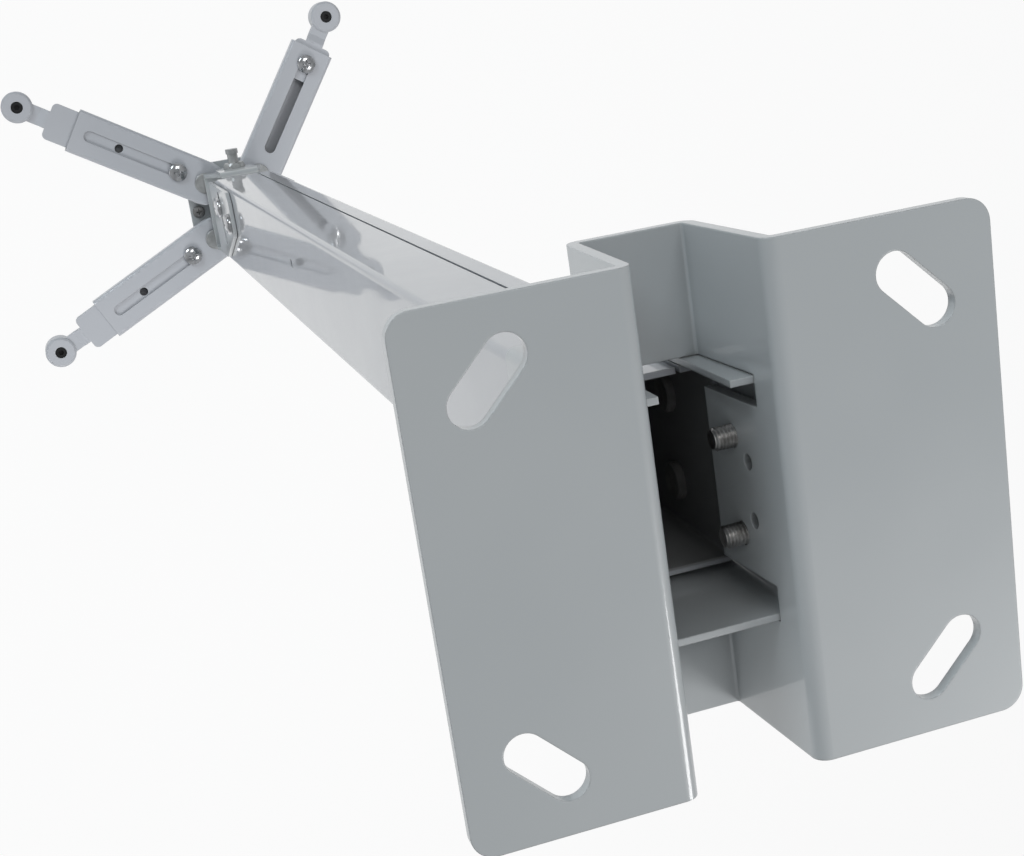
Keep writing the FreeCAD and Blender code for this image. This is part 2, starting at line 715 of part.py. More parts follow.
def all_nodes():
    nodes = {"ceiling_plate": ceiling_plate(), "beam_collar": beam_collar(), "drop_beam": drop_beam(),
             "collar_bolts": collar_bolts(), "collar_washers": collar_washers(),
             "beam_screws": beam_screws(), "beam_nuts": beam_nuts()}
    nodes["tilt_pivot_screws"], nodes["tilt_pivot_nuts"] = tilt_fastener(tilt_y, tilt_z)
    nodes["tilt_lock_screws"], nodes["tilt_lock_nuts"] = tilt_fastener(tilt_y + lock_rise, tilt_z - lock_drop)
    nodes["tilt_bracket"] = tilt_bracket()
    nodes["roll_bolt"] = roll_bolt()
    nodes["roll_nut"] = roll_nut()
    nodes["roll_cap"] = roll_cap()
    nodes["hub_bracket"] = hub_bracket()
    nodes["swivel_bolt"] = swivel_bolt()
    nodes["swivel_nut"] = swivel_nut()
    nodes["hub_plate"] = hub_plate()
    nodes["hub_screws"] = hub_screws()
    nodes["arm_rivets"] = arm_rivets()
    nodes.update(arm_nodes())
    return nodes


os.makedirs("parts", exist_ok=True)
for name, shape in all_nodes().items():
    shape.exportStep("parts/" + name + ".step")
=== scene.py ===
import json
import math
from collections import namedtuple

import bmesh
import bpy
from mathutils import Matrix, Vector


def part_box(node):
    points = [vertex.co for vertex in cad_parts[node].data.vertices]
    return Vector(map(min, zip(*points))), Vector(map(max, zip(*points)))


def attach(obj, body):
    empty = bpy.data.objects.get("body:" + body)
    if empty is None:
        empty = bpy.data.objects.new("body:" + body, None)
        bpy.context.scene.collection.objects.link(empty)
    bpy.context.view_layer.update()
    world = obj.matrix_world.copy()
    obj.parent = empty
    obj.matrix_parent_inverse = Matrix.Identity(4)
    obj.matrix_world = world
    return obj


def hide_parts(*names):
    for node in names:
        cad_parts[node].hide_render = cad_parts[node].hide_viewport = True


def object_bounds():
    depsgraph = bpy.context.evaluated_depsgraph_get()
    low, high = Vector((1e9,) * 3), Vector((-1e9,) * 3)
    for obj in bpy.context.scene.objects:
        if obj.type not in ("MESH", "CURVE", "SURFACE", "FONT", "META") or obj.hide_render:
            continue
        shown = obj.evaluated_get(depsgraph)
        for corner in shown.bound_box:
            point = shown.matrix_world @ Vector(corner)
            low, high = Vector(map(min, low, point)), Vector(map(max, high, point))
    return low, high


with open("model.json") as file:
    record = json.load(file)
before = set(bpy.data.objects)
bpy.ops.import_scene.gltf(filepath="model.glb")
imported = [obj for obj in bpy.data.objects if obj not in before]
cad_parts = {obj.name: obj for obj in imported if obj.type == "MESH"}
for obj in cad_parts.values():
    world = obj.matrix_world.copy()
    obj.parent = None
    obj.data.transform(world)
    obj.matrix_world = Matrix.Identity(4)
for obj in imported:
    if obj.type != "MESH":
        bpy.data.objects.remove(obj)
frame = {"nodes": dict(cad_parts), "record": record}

cad_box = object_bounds()

# Camera, in metres: it stands beside the ceiling plate and looks down along the beam
CAMERA_PLACE = Vector((-0.11115, 0.10523, 0.27403))
CAMERA_TARGET = Vector((-0.03980, 0.02875, 0.0))
CAMERA_UP = Vector((0.21084, 0.95437, -0.21148))
CAMERA_LENS = 57.33
CAMERA_SENSOR = 36.0
CAMERA_NEAR = 0.01
CAMERA_FAR = 50.0

# Colours, in linear values
PAINT = (0.462, 0.486, 0.496)
PAINT_COOL = (0.435, 0.462, 0.475)
# Lighter, bluer copy of the grey paint for the sleeves and bars: painted light and a painted bluish sheen
ARM_PAINT_LIT = (0.500, 0.515, 0.548)
ARM_PAINT_COOL_LIT = (0.475, 0.494, 0.530)
# Darker, bluer copy of the grey paint for the beam: painted shade and a painted bluish sheen
BEAM_PAINT_SHADED = (0.385, 0.400, 0.428)
BEAM_PAINT_COOL_SHADED = (0.368, 0.386, 0.414)
PAINT_WORN = (0.59, 0.61, 0.615)
# Painted shade on the beam's inner faces
PAINTED_SHADE_INSIDE = (0.21, 0.214, 0.217)
# Painted shade in narrow holes, slots and cavities
PAINTED_SHADE_CAVITY = (0.08, 0.08, 0.082)
CHROME = (0.70, 0.71, 0.73)
CHROME_DULL = (0.36, 0.37, 0.38)
ZINC = (0.50, 0.51, 0.51)
ZINC_DULL = (0.36, 0.37, 0.37)
BOLT_STEEL = (0.62, 0.61, 0.60)
BOLT_STEEL_DULL = (0.30, 0.29, 0.28)
# Dark steel of the hub screws; on the screws inside the beam the same colour is painted shade
DARK_STEEL_AND_SHADE = (0.21, 0.207, 0.203)
DARK_STEEL_DULL_AND_SHADE = (0.15, 0.148, 0.145)
BLACK = (0.016, 0.016, 0.017)
BLACK_WORN = (0.06, 0.06, 0.06)
FLOOR = (0.86, 0.86, 0.86)
FLOOR_FIBRE = (0.88, 0.88, 0.88)
WHITE = (1.0, 1.0, 1.0)
SKY = (0.97, 0.985, 1.0)

# Patterns of the finishes: a noise's scale, detail and roughness
PAINT_CLOUD = (9.0, 3.0, 0.5)
PAINT_SMUDGE = (34.0, 4.0, 0.6)
PAINT_PEEL = (420.0, 3.0, 0.55)
PAINT_GRAIN = (1500.0, 2.0, 0.5)
PLATE_PATCH = (260.0, 4.0, 0.5)
PLATE_MARKS = (2400.0, 2.0, 0.6)
OXIDE_PATCH = (300.0, 4.0, 0.5)
OXIDE_GRAIN = (2000.0, 2.0, 0.5)
FLOOR_PAPER = (60.0, 3.0, 0.5)

# Values of a pattern, or of two added, between which a finish changes
CLOUD_SPAN = (0.35, 0.65)
SMUDGE_SPAN = (0.3, 0.75)
GRAIN_SPAN = (0.4, 0.6)
PAINT_SPAN = (0.7, 1.3)
PLATE_PATCH_SPAN = (0.38, 0.68)
PLATE_SPAN = (0.8, 1.2)
OXIDE_PATCH_SPAN = (0.4, 0.65)
OXIDE_SPAN = (0.8, 1.2)

# Roughness, from the smoothest to the roughest spots
PAINT_ROUGHNESS = (0.30, 0.40)
COAT_ROUGHNESS = (0.03, 0.06)
CHROME_ROUGHNESS = (0.10, 0.20)
ZINC_ROUGHNESS = (0.34, 0.48)
BOLT_ROUGHNESS = (0.29, 0.38)
DARK_ROUGHNESS = (0.4, 0.55)
BLACK_ROUGHNESS = (0.36, 0.52)
# Roughness added where shade is painted in
PAINTED_SHADE_ROUGHER = 0.35
FLOOR_ROUGHNESS = 0.9

# Metallic shares, weights of the clear coat, and shares of the worn colour along edges
ZINC_METALLIC = 0.6
BLACK_METALLIC = 0.4
COAT = 0.75
BEAM_COAT = 1.0
SLEEVE_COAT = 0.4
BAR_COAT = 0.15
PAINT_WEAR = (0.25, 0.8)
BLACK_WEAR = (0.2, 0.9)

# Bumps: strength, and depth in metres
PEEL_BUMP = (0.03, 0.0003)
PAINT_BUMP = (0.04, 0.0001)
PLATE_BUMP = (0.08, 0.0001)
OXIDE_BUMP = (0.08, 0.0001)

# Cut edges, in metres: their rounding and the width of their wear. EDGE_TURN is the cosines of
# the turns at which wear starts and is full
PAINT_ROUNDING = 0.0006
PLATE_ROUNDING = 0.0002
PAINT_EDGE = 0.0007
BLACK_EDGE = 0.0003
EDGE_TURN = (0.995, 0.85)
EDGE_SAMPLES = 6

# Painted shade in hollows, in metres: half widths of the beam's inside, its soft border, and how far off
# a cavity's other wall can be. CAVITY_OPEN is how open a wall is where the painted shade is full and where
# it ends
BEAM_INSIDE = (0.01535, 0.0213)
BEAM_BORDER = 0.0004
CAVITY = 0.008
CAVITY_OPEN = (0.12, 0.45)
CAVITY_SAMPLES = 4

# Domed cross screws, in metres, made along Z from their seat
DomedScrew = namedtuple("DomedScrew", "length shank head_d head_height")
TILT_SCREW = DomedScrew(0.0105, 0.006, 0.011, 0.0032)
LOCK_SCREW = DomedScrew(0.0056, 0.005, 0.011, 0.003)
HUB_SCREW = DomedScrew(0.0045, 0.004, 0.0074, 0.0024)

# Places of the tilt joint's screws and of the collar's bolts, where part.py has them
TILT_SEAT = 0.0189
TILT_PLACES = {"tilt_pivot_screws": (0.004, -0.606), "tilt_lock_screws": (0.010, -0.641)}
COLLAR_BOLT_SEAT = 0.0193
EAR_BOLT_Y = 0.0106
EAR_BOLT_Z = -0.0233

# Collar's hexagon bolts
COLLAR_BOLT_ACROSS = 0.008
COLLAR_BOLT_HEAD = 0.0035
COLLAR_BOLT_RADIUS = 0.0025
COLLAR_BOLT_PITCH = 0.0008
COLLAR_BOLT_LENGTH = 0.012

# Socket screws in the eyes
EYE_SCREW_HEAD = 0.004
EYE_SCREW_HEAD_RADIUS = 0.0032
EYE_SCREW_CHAMFER = 0.0003
EYE_SCREW_SOCKET = 0.003
EYE_SCREW_SOCKET_FLOOR = 0.002
EYE_SCREW_SHOULDER = 0.0083
EYE_SCREW_SHOULDER_RADIUS = 0.0022
EYE_SCREW_END = 0.008
EYE_SCREW_END_RADIUS = 0.002
EYE_SCREW_PITCH = 0.0007

# How finely shapes are turned, how far a cutter stands out, and which edges are shaded smooth
TURNED_SEGMENTS = 40
HEX_TURNED_SEGMENTS = 48
THREAD_SEGMENTS = 28
DOME_STEPS = 12
CUTTER_PROUD = 0.001
WELD = 1e-7
SMOOTH_BELOW = math.radians(32)

# Floor, in metres, and its brightness as the camera and as gloss and metal see it
FLOOR_SIZE = 14.0
FLOOR_DROP = 0.45
FLOOR_SEEN = 0.9
FLOOR_MIRRORED = 0.53

# Sky's strength at the horizon and overhead, and the height at which it is reached
SKY_HORIZON = 0.34
SKY_OVERHEAD = 0.37
SKY_RISE = 0.6

# Softboxes: metres, watts and colour
SOFTBOXES = {
    "key": dict(place=(0.3, 1.6, 2.6), target=(0.0, 0.0, -0.3), size=(1.0, 1.0), power=15.0),
    "upper_left": dict(place=(-1.6, 2.0, 0.6), target=(0.0, 0.0, -0.1), size=(0.9, 0.9), power=23.0,
                       colour=(0.86, 0.95, 1.0)),
    "lower_right": dict(place=(0.45, -0.4, 0.35), target=(0.0, 0.0, 0.0), size=(0.25, 0.25), power=1.9),
    "side": dict(place=(-2.2, 0.2, -0.6), target=(0.0, 0.0, -0.5), size=(0.9, 1.4), power=1.0),
    "arms": dict(place=(-0.1, -0.7, -0.25), target=(-0.05, 0.0, -0.73), size=(0.4, 0.3), power=2.9,
                 mirrored=False),
}

CORNERS = ("upper_left", "lower_left", "upper_right", "lower_right")


def add_camera():
    data = bpy.data.cameras.new("camera")
    data.lens = CAMERA_LENS
    data.sensor_width = CAMERA_SENSOR
    data.clip_start = CAMERA_NEAR
    data.clip_end = CAMERA_FAR
    camera = bpy.data.objects.new("camera", data)
    back = (CAMERA_PLACE - CAMERA_TARGET).normalized()
    right = CAMERA_UP.cross(back).normalized()
    up = back.cross(right)
    turned = Matrix((right, up, back)).transposed().to_4x4()
    camera.matrix_world = Matrix.Translation(CAMERA_PLACE) @ turned
    bpy.context.scene.collection.objects.link(camera)
    bpy.context.scene.camera = camera


class Shader:
    """A material's node tree with short calls to add and join nodes."""

    def __init__(self, name):
        self.material = bpy.data.materials.new(name)
        self.material.use_nodes = True
        self.nodes = self.material.node_tree.nodes
        self.links = self.material.node_tree.links
        self.surface = self.nodes["Principled BSDF"]
        self.place = self.nodes.new("ShaderNodeTexCoord").outputs["Object"]

    def noise(self, scale, detail, roughness):
        node = self.nodes.new("ShaderNodeTexNoise")
        node.inputs["Scale"].default_value = scale
        node.inputs["Detail"].default_value = detail
        node.inputs["Roughness"].default_value = roughness
        self.links.new(self.place, node.inputs["Vector"])
        return node.outputs["Fac"]

    def remap(self, value, low, high, to_low=0.0, to_high=1.0):
        node = self.nodes.new("ShaderNodeMapRange")
        node.inputs["From Min"].default_value = low
        node.inputs["From Max"].default_value = high
        node.inputs["To Min"].default_value = to_low
        node.inputs["To Max"].default_value = to_high
        self.links.new(value, node.inputs["Value"])
        return node.outputs["Result"]

    def mixed(self, factor, first, second):
        """First and second are colours or sockets."""
        node = self.nodes.new("ShaderNodeMix")
        node.data_type = "RGBA"
        self.links.new(factor, node.inputs[0])
        for socket, value in ((node.inputs[6], first), (node.inputs[7], second)):
            if isinstance(value, tuple):
                socket.default_value = value + (1.0,)
            else:
                self.links.new(value, socket)
        return node.outputs[2]

    def maths(self, operation, first, second):
        """First is a socket, and second is a number or a socket."""
        node = self.nodes.new("ShaderNodeMath")
        node.operation = operation
        self.links.new(first, node.inputs[0])
        if isinstance(second, float):
            node.inputs[1].default_value = second
        else:
            self.links.new(second, node.inputs[1])
        return node.outputs[0]

    def soft_edges(self, radius):
        """Normal that rounds the sheet's cut edges over."""
        node = self.nodes.new("ShaderNodeBevel")
        node.samples = EDGE_SAMPLES
        node.inputs["Radius"].default_value = radius
        return node.outputs["Normal"]

    def edge_mask(self, radius):
        """One along outer edges and nought on flat faces."""
        rounded = self.soft_edges(radius)
        flat = self.nodes.new("ShaderNodeNewGeometry").outputs["Normal"]
        node = self.nodes.new("ShaderNodeVectorMath")
        node.operation = "DOT_PRODUCT"
        self.links.new(rounded, node.inputs[0])
        self.links.new(flat, node.inputs[1])
        return self.remap(node.outputs["Value"], *EDGE_TURN)

    def bump(self, height, strength, depth, normal=None):
        node = self.nodes.new("ShaderNodeBump")
        node.inputs["Strength"].default_value = strength
        node.inputs["Distance"].default_value = depth
        self.links.new(height, node.inputs["Height"])
        if normal:
            self.links.new(normal, node.inputs["Normal"])
        return node.outputs["Normal"]

    def finish(self, colour, roughness, normal, metallic=0.0):
        self.links.new(colour, self.surface.inputs["Base Color"])
        self.links.new(roughness, self.surface.inputs["Roughness"])
        self.links.new(normal, self.surface.inputs["Normal"])
        self.surface.inputs["Metallic"].default_value = metallic
        return self.material


def inside_beam(shader):
    """Mask for shade painted on the beam's inner faces: one there, with a soft border."""
    parts = shader.nodes.new("ShaderNodeSeparateXYZ")
    shader.links.new(shader.place, parts.inputs[0])
    near = []
    for axis, half in zip("XY", BEAM_INSIDE):
        distance = shader.maths("ABSOLUTE", parts.outputs[axis], 0.0)
        near.append(shader.remap(distance, half, half + BEAM_BORDER, 1.0, 0.0))
    return shader.maths("MULTIPLY", *near)


def deep_inside(shader):
    """Mask for shade painted into narrow cavities and holes: one on their walls, nought in the open."""
    node = shader.nodes.new("ShaderNodeAmbientOcclusion")
    node.samples = CAVITY_SAMPLES
    node.inputs["Distance"].default_value = CAVITY
    return shader.remap(node.outputs["AO"], *CAVITY_OPEN, 1.0, 0.0)


def painted_steel(name, colours=(PAINT_COOL, PAINT), coat=COAT, shade_where=None, shade_colour=PAINTED_SHADE_INSIDE):
    """Light grey gloss paint: faint orange peel, cloudy tone, smudges and slightly rubbed edges.

    The mask that the fourth argument makes paints shade in: there the colour turns to the fifth argument's
    dark colour, rougher and without coat.
    """
    shader = Shader(name)
    cloud = shader.noise(*PAINT_CLOUD)
    grain = shader.noise(*PAINT_GRAIN)
    peel = shader.noise(*PAINT_PEEL)
    smudge = shader.noise(*PAINT_SMUDGE)
    tone = shader.mixed(shader.remap(cloud, *CLOUD_SPAN), *colours)
    worn = shader.remap(grain, *GRAIN_SPAN, *PAINT_WEAR)
    colour = shader.mixed(shader.maths("MULTIPLY", shader.edge_mask(PAINT_EDGE), worn), tone, PAINT_WORN)
    roughness = shader.remap(shader.maths("ADD", cloud, smudge), *PAINT_SPAN, *PAINT_ROUGHNESS)
    normal = shader.bump(peel, *PEEL_BUMP, shader.soft_edges(PAINT_ROUNDING))
    shader.surface.inputs["Coat Weight"].default_value = coat
    coat_roughness = shader.remap(smudge, *SMUDGE_SPAN, *COAT_ROUGHNESS)
    shader.links.new(coat_roughness, shader.surface.inputs["Coat Roughness"])
    # Painted shade: where the mask says, the colour turns dark, rougher and without coat
    if shade_where:
        mask = shade_where(shader)
        colour = shader.mixed(mask, colour, shade_colour)
        roughness = shader.maths("ADD", roughness, shader.remap(mask, 0.0, 1.0, 0.0, PAINTED_SHADE_ROUGHER))
        shader.links.new(shader.remap(mask, 0.0, 1.0, coat, 0.0), shader.surface.inputs["Coat Weight"])
    return shader.finish(colour, roughness, shader.bump(grain, *PAINT_BUMP, normal))


def plated(name, bright, dull, roughness, metallic=1.0):
    """Plated fastener with faint turning marks and duller patches."""
    shader = Shader(name)
    patch = shader.noise(*PLATE_PATCH)
    marks = shader.noise(*PLATE_MARKS)
    colour = shader.mixed(shader.remap(patch, *PLATE_PATCH_SPAN), bright, dull)
    rough = shader.remap(shader.maths("ADD", patch, marks), *PLATE_SPAN, *roughness)
    normal = shader.bump(marks, *PLATE_BUMP, shader.soft_edges(PLATE_ROUNDING))
    return shader.finish(colour, rough, normal, metallic)


def blackened(name):
    """Black oxide steel, a little greyer where it is rubbed."""
    shader = Shader(name)
    patch = shader.noise(*OXIDE_PATCH)
    grain = shader.noise(*OXIDE_GRAIN)
    worn = shader.remap(patch, *OXIDE_PATCH_SPAN, *BLACK_WEAR)
    colour = shader.mixed(shader.maths("MULTIPLY", shader.edge_mask(BLACK_EDGE), worn), BLACK, BLACK_WORN)
    roughness = shader.remap(shader.maths("ADD", patch, grain), *OXIDE_SPAN, *BLACK_ROUGHNESS)
    return shader.finish(colour, roughness, shader.bump(grain, *OXIDE_BUMP), BLACK_METALLIC)


def circle(segments, radius):
    """Points around the origin, from the X axis on."""
    turns = [2 * math.pi * k / segments for k in range(segments)]
    return [(radius * math.cos(turn), radius * math.sin(turn)) for turn in turns]


def surface_of_revolution(profile, segments=TURNED_SEGMENTS):
    """Mesh turned about Z from (radius, z) points, which start and end on the axis."""
    shape = bmesh.new()
    rings = []
    for radius, z in profile:
        if radius == 0.0:
            rings.append([shape.verts.new((0.0, 0.0, z))])
            continue
        rings.append([shape.verts.new((x, y, z)) for x, y in circle(segments, radius)])
    for ring, after in zip(rings, rings[1:]):
        for k in range(segments):
            near = (ring[k % len(ring)], ring[(k + 1) % len(ring)])
            far = (after[(k + 1) % len(after)], after[k % len(after)])
            corners = list(dict.fromkeys(near + far))
            shape.faces.new(corners)
    bmesh.ops.recalc_face_normals(shape, faces=shape.faces)
    return shape


def prism(outline, low, high):
    """Mesh with an outline of (x, y) points from low to high."""
    shape = bmesh.new()
    base = [shape.verts.new((x, y, low)) for x, y in outline]
    top = [shape.verts.new((x, y, high)) for x, y in outline]
    shape.faces.new(base)
    shape.faces.new(top)
    for k in range(len(outline)):
        after = (k + 1) % len(outline)
        shape.faces.new((base[k], base[after], top[after], top[k]))
    bmesh.ops.recalc_face_normals(shape, faces=shape.faces)
    return shape


def to_mesh(shape, name):
    mesh = bpy.data.meshes.new(name)
    shape.to_mesh(mesh)
    shape.free()
    return mesh


def joined(*shapes):
    """One shape from several."""
    whole = bmesh.new()
    for shape in shapes:
        mesh = to_mesh(shape, "part")
        whole.from_mesh(mesh)
        bpy.data.meshes.remove(mesh)
    return whole


def carved(shape, cutter, operation="DIFFERENCE"):
    """Shape less the cutter, or what both share."""
    objects = [bpy.data.objects.new("carving", to_mesh(piece, "carving")) for piece in (shape, cutter)]
    for piece in objects:
        bpy.context.scene.collection.objects.link(piece)
    modifier = objects[0].modifiers.new("carve", "BOOLEAN")
    modifier.object = objects[1]
    modifier.operation = operation
    modifier.solver = "EXACT"
    graph = bpy.context.evaluated_depsgraph_get()
    result = bmesh.new()
    result.from_object(objects[0], graph)
    for piece in objects:
        mesh = piece.data
        bpy.data.objects.remove(piece)
        bpy.data.meshes.remove(mesh)
    return result


def hexagon(across):
    """Corners of a hexagon of that width across its flats."""
    return circle(6, across / 2 / math.cos(math.pi / 6))


def threaded(radius, pitch, low, high):
    """Screw thread along Z between two heights, chamfered at the low end and closed by flat ends."""
    root = radius - 0.6 * pitch
    half_crest = 0.08
    chamfer_slope = 1.2
    shape = bmesh.new()
    steps = int(THREAD_SEGMENTS * (high - low) / pitch) + THREAD_SEGMENTS
    before = None
    for step in range(steps + 1):
        angle = 2 * math.pi * step / THREAD_SEGMENTS
        middle = low - pitch / 2 + pitch * step / THREAD_SEGMENTS
        line = []
        for shift, size in ((-0.5, root), (-half_crest, radius), (half_crest, radius), (0.5, root)):
            z = min(max(middle + shift * pitch, low), high)
            reach = min(size, root + (z - low) * chamfer_slope)
            line.append(shape.verts.new((reach * math.cos(angle), reach * math.sin(angle), z)))
        if before:
            for k in range(3):
                shape.faces.new((before[k], line[k], line[k + 1], before[k + 1]))
        before = line
    for z in (low, high):
        ring = [shape.verts.new((x, y, z)) for x, y in circle(THREAD_SEGMENTS, root)]
        shape.faces.new(ring if z == high else ring[::-1])
    return shape


def domed_screw(screw):
    """Screw with a domed head and a tapered cross recess, seated on Z = 0."""
    height = screw.head_height
    radius = screw.head_d / 2
    rim = height * 0.32
    profile = [(0.0, height)]
    for step in range(1, DOME_STEPS + 1):
        angle = math.pi / 2 * step / DOME_STEPS
        profile.append((radius * math.sin(angle), rim + (height - rim) * math.cos(angle)))
    shank = screw.shank / 2
    profile += [(radius, 0.0), (shank, 0.0), (shank, -screw.length), (0.0, -screw.length)]
    arm = screw.head_d * 0.27
    half = screw.head_d * 0.055
    depth = height * 0.55
    narrowed = 0.62
    cross = [(arm, -half), (arm, half), (half, half), (half, arm), (-half, arm), (-half, half),
             (-arm, half), (-arm, -half), (-half, -half), (-half, -arm), (half, -arm), (half, -half)]
    recess = prism(cross, height - depth, height + CUTTER_PROUD)
    for vert in recess.verts:
        if vert.co.z < height:
            vert.co.x *= narrowed
            vert.co.y *= narrowed
    return carved(surface_of_revolution(profile), recess)


def hex_head(across, height):
    """Hexagon with its upper corners turned off, seated on Z = 0."""
    blank = prism(hexagon(across), 0.0, height)
    corner = across / math.sqrt(3)
    flat = across * 0.47
    shoulder = height * 0.78
    profile = [(0.0, height), (flat, height), (corner, shoulder), (corner, -height), (0.0, -height)]
    return carved(blank, surface_of_revolution(profile, HEX_TURNED_SEGMENTS), "INTERSECT")


def eye_screw():
    """Socket screw with a shoulder and a threaded end, seated on Z = 0."""
    height = EYE_SCREW_HEAD
    radius = EYE_SCREW_HEAD_RADIUS
    chamfer = EYE_SCREW_CHAMFER
    shoulder = EYE_SCREW_SHOULDER_RADIUS
    profile = [(0.0, height), (radius - chamfer, height), (radius, height - chamfer), (radius, 0.0),
               (shoulder, 0.0), (shoulder, -EYE_SCREW_SHOULDER), (0.0, -EYE_SCREW_SHOULDER)]
    socket = prism(hexagon(EYE_SCREW_SOCKET), EYE_SCREW_SOCKET_FLOOR, height + CUTTER_PROUD)
    head = carved(surface_of_revolution(profile), socket)
    tip = -EYE_SCREW_SHOULDER - EYE_SCREW_END
    return joined(head, threaded(EYE_SCREW_END_RADIUS, EYE_SCREW_PITCH, tip, -EYE_SCREW_SHOULDER))


def collar_bolt():
    """Hexagon bolt with a thread up to its head, seated on Z = 0."""
    head = hex_head(COLLAR_BOLT_ACROSS, COLLAR_BOLT_HEAD)
    return joined(head, threaded(COLLAR_BOLT_RADIUS, COLLAR_BOLT_PITCH, -COLLAR_BOLT_LENGTH, 0.0))


def facing(place, direction):
    """Matrix that brings a shape made along +Z to its place."""
    turned = Vector(direction).to_track_quat("Z", "Y").to_matrix().to_4x4()
    return Matrix.Translation(Vector(place)) @ turned


def below_top(node, head_height):
    """Matrix for an upright screw whose head ends at the top of the CAD node's box."""
    low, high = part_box(node)
    return facing(((low[0] + high[0]) / 2, (low[1] + high[1]) / 2, high[2] - head_height), (0, 0, 1))


def assemble(node, solids, finish=None):
    """One object from (shape, matrix) pairs, which stands for the CAD node."""
    whole = bmesh.new()
    for shape, matrix in solids:
        copy = shape.copy()
        copy.transform(matrix)
        mesh = to_mesh(copy, "part")
        whole.from_mesh(mesh)
        bpy.data.meshes.remove(mesh)
    bmesh.ops.remove_doubles(whole, verts=whole.verts, dist=WELD)
    for face in whole.faces:
        face.smooth = True
    for edge in whole.edges:
        edge.smooth = len(edge.link_faces) == 2 and edge.calc_face_angle() < SMOOTH_BELOW
    piece = bpy.data.objects.new(node + "_detailed", to_mesh(whole, node))
    bpy.context.scene.collection.objects.link(piece)
    piece.data.materials.append(finish or FINISHES[SLOT_OF[node]])
    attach(piece, BODY_OF[node])
    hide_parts(node)


def add_screws():
    tilt = domed_screw(TILT_SCREW)
    for node, (y, z) in TILT_PLACES.items():
        assemble(node, [(tilt, facing((sign * TILT_SEAT, y, z), (sign, 0, 0))) for sign in (1, -1)])
    lock = domed_screw(LOCK_SCREW)
    socket = eye_screw()
    for corner in CORNERS:
        node = "lock_screw_" + corner
        assemble(node, [(lock, below_top(node, LOCK_SCREW.head_height))])
        node = "eye_screw_" + corner
        assemble(node, [(socket, below_top(node, EYE_SCREW_HEAD))])
    hub = domed_screw(HUB_SCREW)
    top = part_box("hub_screws")[1]
    x = top[0] - HUB_SCREW.head_d / 2
    z = top[2] - HUB_SCREW.head_height
    assemble("hub_screws", [(hub, facing((sign * x, 0, z), (0, 0, 1))) for sign in (1, -1)], DARK_AND_SHADED)


def add_bolts():
    bolt = collar_bolt()
    places = []
    for sign_x in (1, -1):
        for sign_y in (1, -1):
            seat = (sign_x * COLLAR_BOLT_SEAT, sign_y * EAR_BOLT_Y, EAR_BOLT_Z)
            places.append(facing(seat, (sign_x, 0, 0)))
    assemble("collar_bolts", [(bolt, place) for place in places], BOLT)


def repaint(node, material):
    mesh = frame["nodes"][node].data
    mesh.materials.clear()
    mesh.materials.append(material)


def dress_nodes():
    """Every CAD node gets its slot's finish, and some sheet parts and the beam's screws their own, with
    painted light and shade in their colours.
    """
    lit_arm_colours = (ARM_PAINT_COOL_LIT, ARM_PAINT_LIT)
    shaded_beam_colours = (BEAM_PAINT_COOL_SHADED, BEAM_PAINT_SHADED)
    # The beam's paint is a darker copy with its inside painted dark as shade, and the plate's holes get
    # painted shade
    own = {"drop_beam": painted_steel("beam_paint_with_painted_shade", shaded_beam_colours, BEAM_COAT, inside_beam),
           "ceiling_plate": painted_steel("plate_paint_with_painted_shade", shade_where=deep_inside, shade_colour=PAINTED_SHADE_CAVITY),
           "beam_screws": DARK_AND_SHADED}
    # Sleeves and bars take the lighter copy of the paint as painted light, and the sleeves' slots also get
    # painted shade
    sleeve_painted_light_and_shade = painted_steel("sleeve_painted_light_and_shade", lit_arm_colours, SLEEVE_COAT, deep_inside, PAINTED_SHADE_CAVITY)
    bar_painted_light = painted_steel("bar_painted_light", lit_arm_colours, BAR_COAT)
    for corner in CORNERS:
        own["sleeve_" + corner] = sleeve_painted_light_and_shade
        own["bar_" + corner] = bar_painted_light
    for node, slot in SLOT_OF.items():
        repaint(node, own.get(node, FINISHES[slot]))


def blended(tree, factor, first, second):
    """Closure that is the first at nought and the second at one."""
    node = tree.nodes.new("ShaderNodeMixShader")
    for socket, value in zip(node.inputs, (factor, first, second)):
        tree.links.new(value, socket)
    return node.outputs[0]


def add_floor():
    """Pale floor below the object that the camera sees as nearly white, and through from below."""
    low = cad_box[0][2] - FLOOR_DROP
    half = FLOOR_SIZE / 2
    mesh = bpy.data.meshes.new("floor")
    mesh.from_pydata([(-half, -half, low), (half, -half, low), (half, half, low), (-half, half, low)],
                     [], [(0, 1, 2, 3)])
    floor = bpy.data.objects.new("floor", mesh)
    bpy.context.scene.collection.objects.link(floor)
    shader = Shader("floor_paper")
    paper = shader.mixed(shader.noise(*FLOOR_PAPER), FLOOR, FLOOR_FIBRE)
    shader.links.new(paper, shader.surface.inputs["Base Color"])
    shader.surface.inputs["Roughness"].default_value = FLOOR_ROUGHNESS
    glow = shader.nodes.new("ShaderNodeEmission")
    glow.inputs["Color"].default_value = WHITE + (1.0,)
    path = shader.nodes.new("ShaderNodeLightPath")
    seen = shader.maths("MAXIMUM", path.outputs["Is Camera Ray"], path.outputs["Is Glossy Ray"])
    share = shader.remap(path.outputs["Is Camera Ray"], 0.0, 1.0, FLOOR_MIRRORED, FLOOR_SEEN)
    tree = shader.material.node_tree
    upper = blended(tree, shader.maths("MULTIPLY", seen, share), shader.surface.outputs[0], glow.outputs[0])
    clear = shader.nodes.new("ShaderNodeBsdfTransparent").outputs[0]
    below = shader.nodes.new("ShaderNodeNewGeometry").outputs["Backfacing"]
    both = blended(tree, below, upper, clear)
    shader.links.new(both, shader.nodes["Material Output"].inputs["Surface"])
    mesh.materials.append(shader.material)


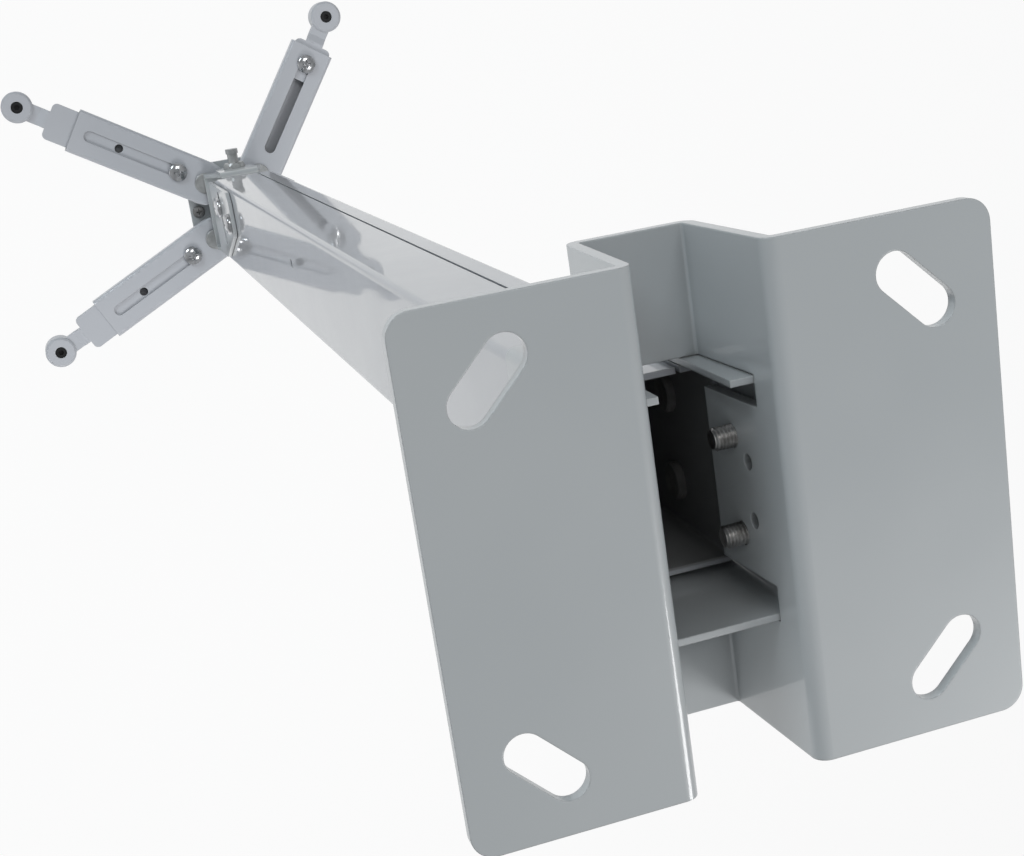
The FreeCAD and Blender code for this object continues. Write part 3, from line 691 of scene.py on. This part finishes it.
def add_world():
    """White behind the object, and as fill a plain sky that is slightly brighter overhead."""
    world = bpy.data.worlds.new("studio")
    world.use_nodes = True
    tree = world.node_tree
    fill = tree.nodes["Background"]
    fill.inputs["Color"].default_value = SKY + (1.0,)
    parts = tree.nodes.new("ShaderNodeSeparateXYZ")
    tree.links.new(tree.nodes.new("ShaderNodeTexCoord").outputs["Generated"], parts.inputs[0])
    height = tree.nodes.new("ShaderNodeMapRange")
    height.inputs["From Max"].default_value = SKY_RISE
    height.inputs["To Min"].default_value = SKY_HORIZON
    height.inputs["To Max"].default_value = SKY_OVERHEAD
    tree.links.new(parts.outputs["Z"], height.inputs["Value"])
    tree.links.new(height.outputs["Result"], fill.inputs["Strength"])
    white = tree.nodes.new("ShaderNodeBackground")
    white.inputs["Color"].default_value = WHITE + (1.0,)
    path = tree.nodes.new("ShaderNodeLightPath")
    seen = tree.nodes.new("ShaderNodeMath")
    seen.operation = "MAXIMUM"
    tree.links.new(path.outputs["Is Camera Ray"], seen.inputs[0])
    tree.links.new(path.outputs["Is Transmission Ray"], seen.inputs[1])
    both = blended(tree, seen.outputs[0], fill.outputs[0], white.outputs[0])
    tree.links.new(both, tree.nodes["World Output"].inputs["Surface"])
    bpy.context.scene.world = world


def add_softbox(name, place, target, size, power, colour=WHITE, mirrored=True):
    data = bpy.data.lights.new(name, "AREA")
    data.shape = "RECTANGLE"
    data.size, data.size_y = size
    data.energy = power
    data.color = colour
    light = bpy.data.objects.new(name, data)
    light.location = place
    light.rotation_euler = (Vector(target) - Vector(place)).to_track_quat("-Z", "Y").to_euler()
    light.visible_glossy = mirrored
    bpy.context.scene.collection.objects.link(light)


FINISHES = {"paint": painted_steel("gloss_paint"),
            "chrome": plated("bright_plate", CHROME, CHROME_DULL, CHROME_ROUGHNESS),
            "zinc": plated("zinc_plate", ZINC, ZINC_DULL, ZINC_ROUGHNESS, ZINC_METALLIC),
            "black": blackened("black_oxide")}
BOLT = plated("bolt_steel", BOLT_STEEL, BOLT_STEEL_DULL, BOLT_ROUGHNESS)
# Dark steel of the hub screws, and painted shade on the screws inside the beam
DARK_AND_SHADED = plated("dark_steel_and_shade", DARK_STEEL_AND_SHADE, DARK_STEEL_DULL_AND_SHADE, DARK_ROUGHNESS, 0.0)
SLOT_OF = {part["node"]: part["material_slot"] for part in frame["record"]["subparts"]}
BODY_OF = {node: body for body, nodes in frame["record"]["behaviour"]["bodies"].items() for node in nodes}

bpy.context.scene.view_settings.view_transform = "Standard"
add_camera()
dress_nodes()
add_screws()
add_bolts()
add_floor()
add_world()
for name, softbox in SOFTBOXES.items():
    add_softbox(name, **softbox)
